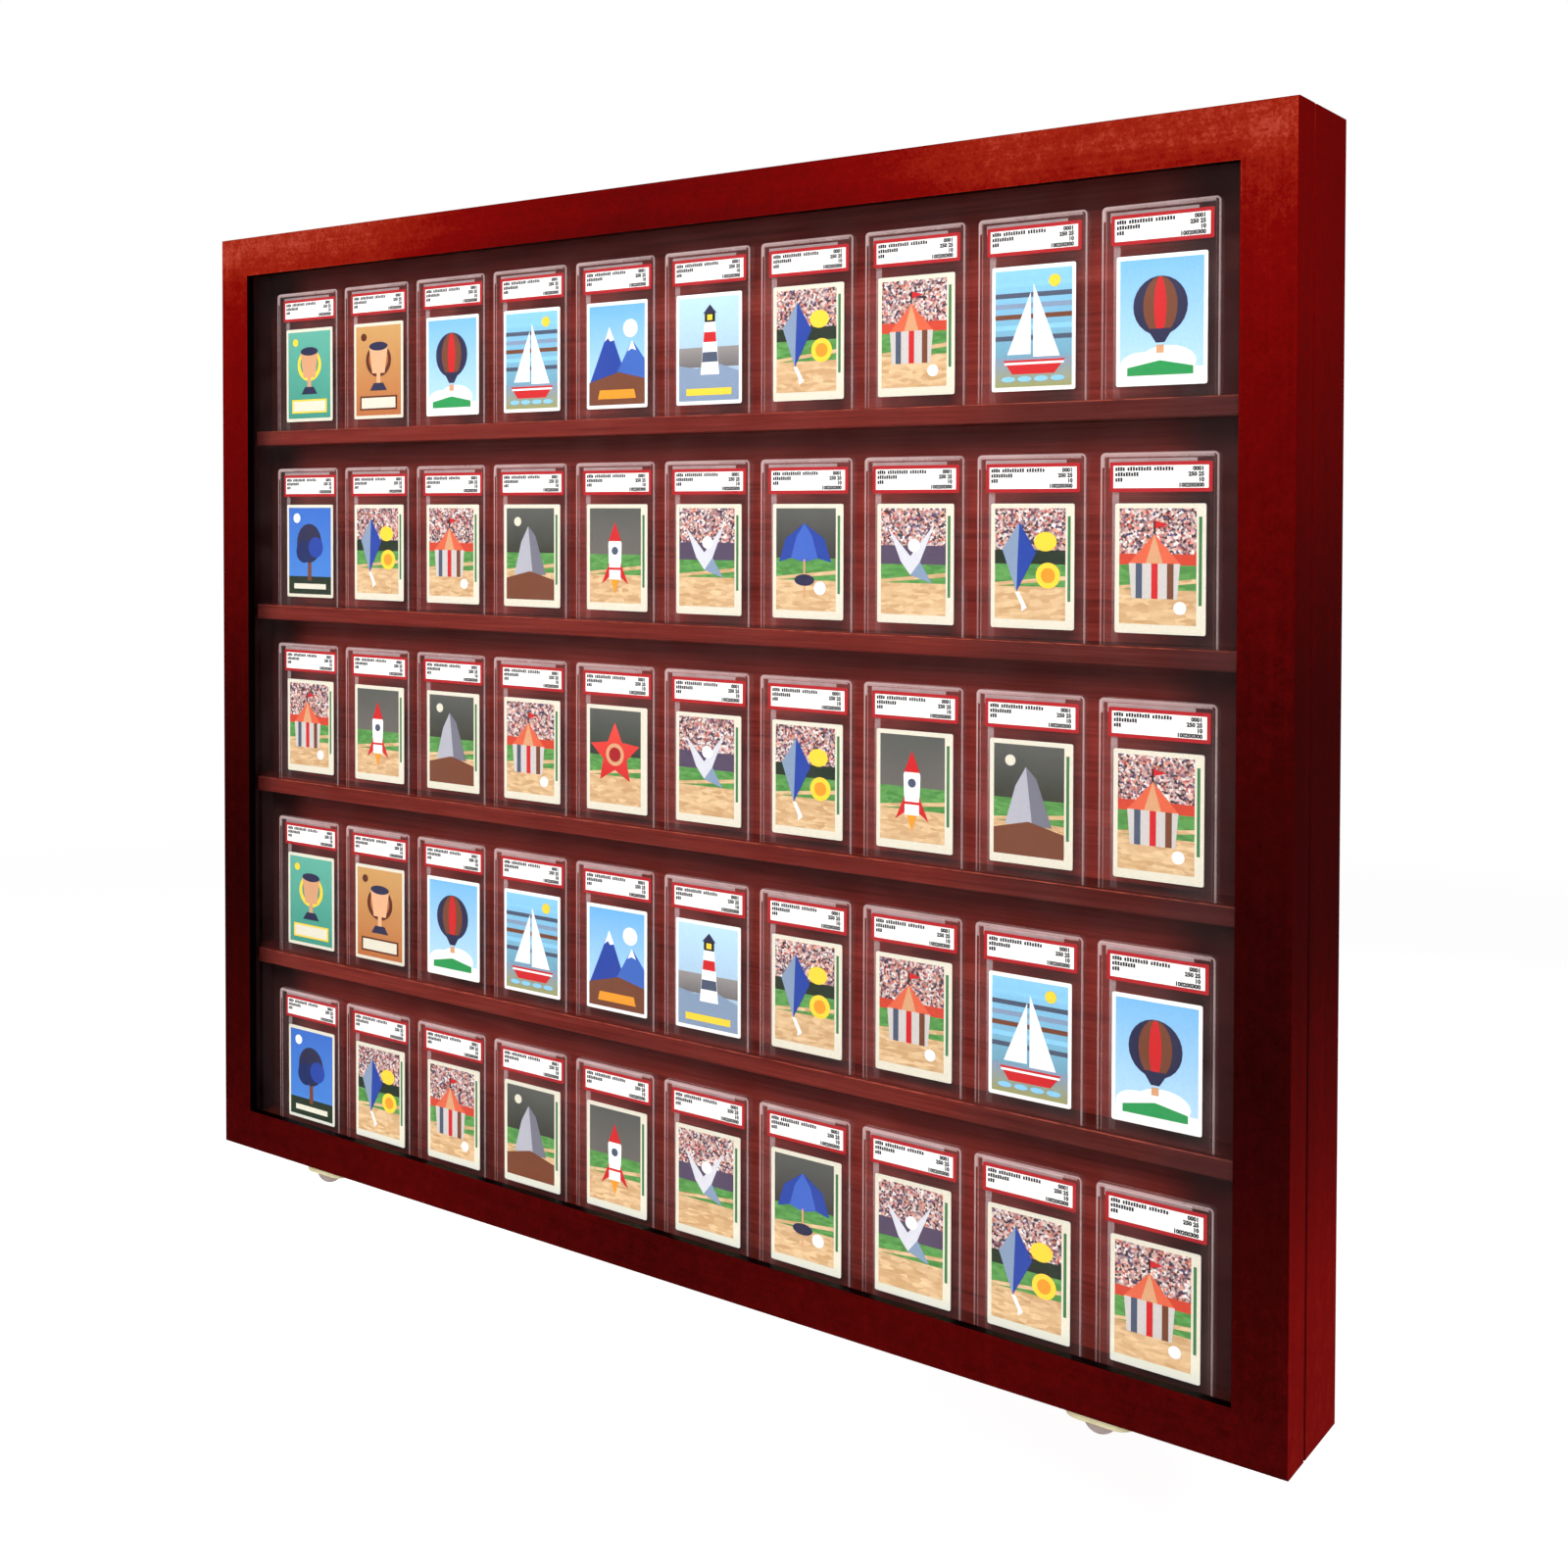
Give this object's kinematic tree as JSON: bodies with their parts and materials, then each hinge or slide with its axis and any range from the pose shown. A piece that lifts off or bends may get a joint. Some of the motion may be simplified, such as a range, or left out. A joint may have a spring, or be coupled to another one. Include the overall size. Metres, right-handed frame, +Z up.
{
  "type": "trading card display case",
  "caption": "Wall-hung mitred wood display case with shelves of graded card holders behind a clear glazed door, hinged at the top, with cam locks in its bottom rail.",
  "frame": {"origin": "midway between the round holes of the two keyhole hangers, on the wall plane", "axes": "+X along the width to the viewer's right, +Y from the front into the wall, +Z up"},
  "size_m": [1.035, 0.099, 0.9092],
  "materials": {
    "frame_wood": "satin mahogany stain over fine grain",
    "interior_wood": "satin mahogany stain over fine grain",
    "glazing": "clear polished acrylic",
    "holder_plastic": "clear moulded polystyrene with frosted rims",
    "card_stock": "coated printed card",
    "label_paper": "printed paper with a red border",
    "brass": "pale satin brass",
    "nickel": "satin nickel plate",
    "steel": "zinc plated steel"
  },
  "bodies": {
    "case": {"back_panel": "interior_wood", "cards_row_1": "card_stock", "cards_row_2": "card_stock", "cards_row_3": "card_stock", "cards_row_4": "card_stock", "cards_row_5": "card_stock", "case_bottom": "frame_wood", "case_left": "frame_wood", "case_right": "frame_wood", "case_top": "frame_wood", "floor_board": "interior_wood", "hanger_screws": "steel", "hinge_case_leaves": "brass", "hinge_pins": "brass", "hinge_screws_case": "steel", "holder_backs_row_1": "holder_plastic", "holder_backs_row_2": "holder_plastic", "holder_backs_row_3": "holder_plastic", "holder_backs_row_4": "holder_plastic", "holder_backs_row_5": "holder_plastic", "holder_fronts_row_1": "holder_plastic", "holder_fronts_row_2": "holder_plastic", "holder_fronts_row_3": "holder_plastic", "holder_fronts_row_4": "holder_plastic", "holder_fronts_row_5": "holder_plastic", "keyhole_hangers": "steel", "labels_row_1": "label_paper", "labels_row_2": "label_paper", "labels_row_3": "label_paper", "labels_row_4": "label_paper", "labels_row_5": "label_paper", "shelf_1": "interior_wood", "shelf_2": "interior_wood", "shelf_3": "interior_wood", "shelf_4": "interior_wood", "strike_plates": "brass", "strike_screws": "steel"},
    "door": {"door_bottom_rail": "frame_wood", "door_face_bottom": "frame_wood", "door_face_left": "frame_wood", "door_face_right": "frame_wood", "door_face_top": "frame_wood", "door_left_stile": "frame_wood", "door_right_stile": "frame_wood", "door_top_rail": "frame_wood", "glazing": "glazing", "glazing_bead_bottom": "frame_wood", "glazing_bead_left": "frame_wood", "glazing_bead_right": "frame_wood", "glazing_bead_top": "frame_wood", "hinge_door_leaves": "brass", "hinge_screws_door": "steel", "lock_left_body": "brass", "lock_right_body": "brass", "lock_screws": "steel"},
    "lock_left": {"lock_left_cam": "nickel", "lock_left_plug": "nickel"},
    "lock_right": {"lock_right_cam": "nickel", "lock_right_plug": "nickel"}
  },
  "joints": [
    {"name": "door_hinge", "type": "hinge", "parent": "case", "child": "door", "pos_m": [0, -0.066, 0.06295], "axis": [-1, 0, 0], "range_deg": [0, 180]},
    {"name": "lock_left_turn", "type": "hinge", "parent": "door", "child": "lock_left", "pos_m": [-0.385, -0.08275, -0.8195], "axis": [0, 0, 1], "range_deg": [0, 90]},
    {"name": "lock_right_turn", "type": "hinge", "parent": "door", "child": "lock_right", "pos_m": [0.385, -0.08275, -0.8195], "axis": [0, 0, 1], "range_deg": [0, 90]}
  ]
}
